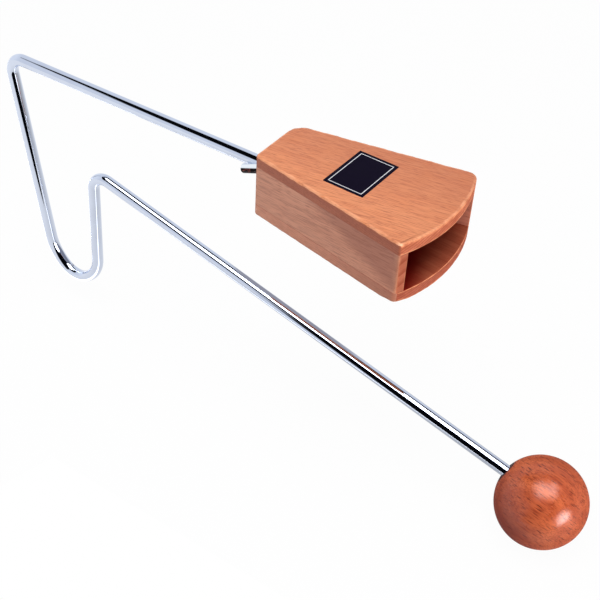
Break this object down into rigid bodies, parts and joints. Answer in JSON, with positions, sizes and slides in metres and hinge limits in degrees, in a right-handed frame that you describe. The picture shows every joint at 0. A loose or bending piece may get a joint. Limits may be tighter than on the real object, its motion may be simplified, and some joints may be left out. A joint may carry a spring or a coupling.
{
  "type": "vibraslap",
  "caption": "Hand-held rattle: a bent chromed rod with a wooden ball on one end and an open wooden resonator box, holding a plate of loose rivets, on the other.",
  "frame": {"origin": "on the outer face of the box's bottom board, midway across, 45 mm from the box's narrow end", "axes": "+X along the box from the rod's end to the open mouth, +Y across the box, +Z square to the broad boards, up as in the picture; the bent rod lies in the XZ plane"},
  "size_m": [0.3686, 0.0694, 0.1692],
  "materials": {
    "chrome": "bright polished chrome plate",
    "ball_wood": "red-brown stained hardwood, glossy varnish",
    "beech": "salmon-stained beech, satin varnish",
    "end_grain_beech": "stained beech end grain, satin",
    "spring_steel": "rolled spring steel",
    "zinc": "bright zinc plate"
  },
  "bodies": {
    "instrument": {"rod": "chrome", "ball": "ball_wood", "top_board": "beech", "bottom_board": "beech", "near_wall": "beech", "far_wall": "beech", "end_block": "end_grain_beech", "lock_pin": "chrome", "rattle_plate": "spring_steel", "rod_washer": "zinc", "rod_nut": "zinc", "near_plate_screw": "zinc", "far_plate_screw": "zinc"},
    "rivet_1": {"rivet_1": "zinc"},
    "rivet_2": {"rivet_2": "zinc"},
    "rivet_3": {"rivet_3": "zinc"},
    "rivet_4": {"rivet_4": "zinc"},
    "rivet_5": {"rivet_5": "zinc"},
    "rivet_6": {"rivet_6": "zinc"},
    "rivet_7": {"rivet_7": "zinc"},
    "rivet_8": {"rivet_8": "zinc"}
  },
  "joints": [
    {"name": "rivet_1_hop", "type": "slide", "parent": "instrument", "child": "rivet_1", "axis": [0, 0, 1], "range_m": [0, 0.0015]},
    {"name": "rivet_2_hop", "type": "slide", "parent": "instrument", "child": "rivet_2", "axis": [0, 0, 1], "range_m": [0, 0.0015]},
    {"name": "rivet_3_hop", "type": "slide", "parent": "instrument", "child": "rivet_3", "axis": [0, 0, 1], "range_m": [0, 0.0015]},
    {"name": "rivet_4_hop", "type": "slide", "parent": "instrument", "child": "rivet_4", "axis": [0, 0, 1], "range_m": [0, 0.0015]},
    {"name": "rivet_5_hop", "type": "slide", "parent": "instrument", "child": "rivet_5", "axis": [0, 0, 1], "range_m": [0, 0.0015]},
    {"name": "rivet_6_hop", "type": "slide", "parent": "instrument", "child": "rivet_6", "axis": [0, 0, 1], "range_m": [0, 0.0015]},
    {"name": "rivet_7_hop", "type": "slide", "parent": "instrument", "child": "rivet_7", "axis": [0, 0, 1], "range_m": [0, 0.0015]},
    {"name": "rivet_8_hop", "type": "slide", "parent": "instrument", "child": "rivet_8", "axis": [0, 0, 1], "range_m": [0, 0.0015]}
  ]
}
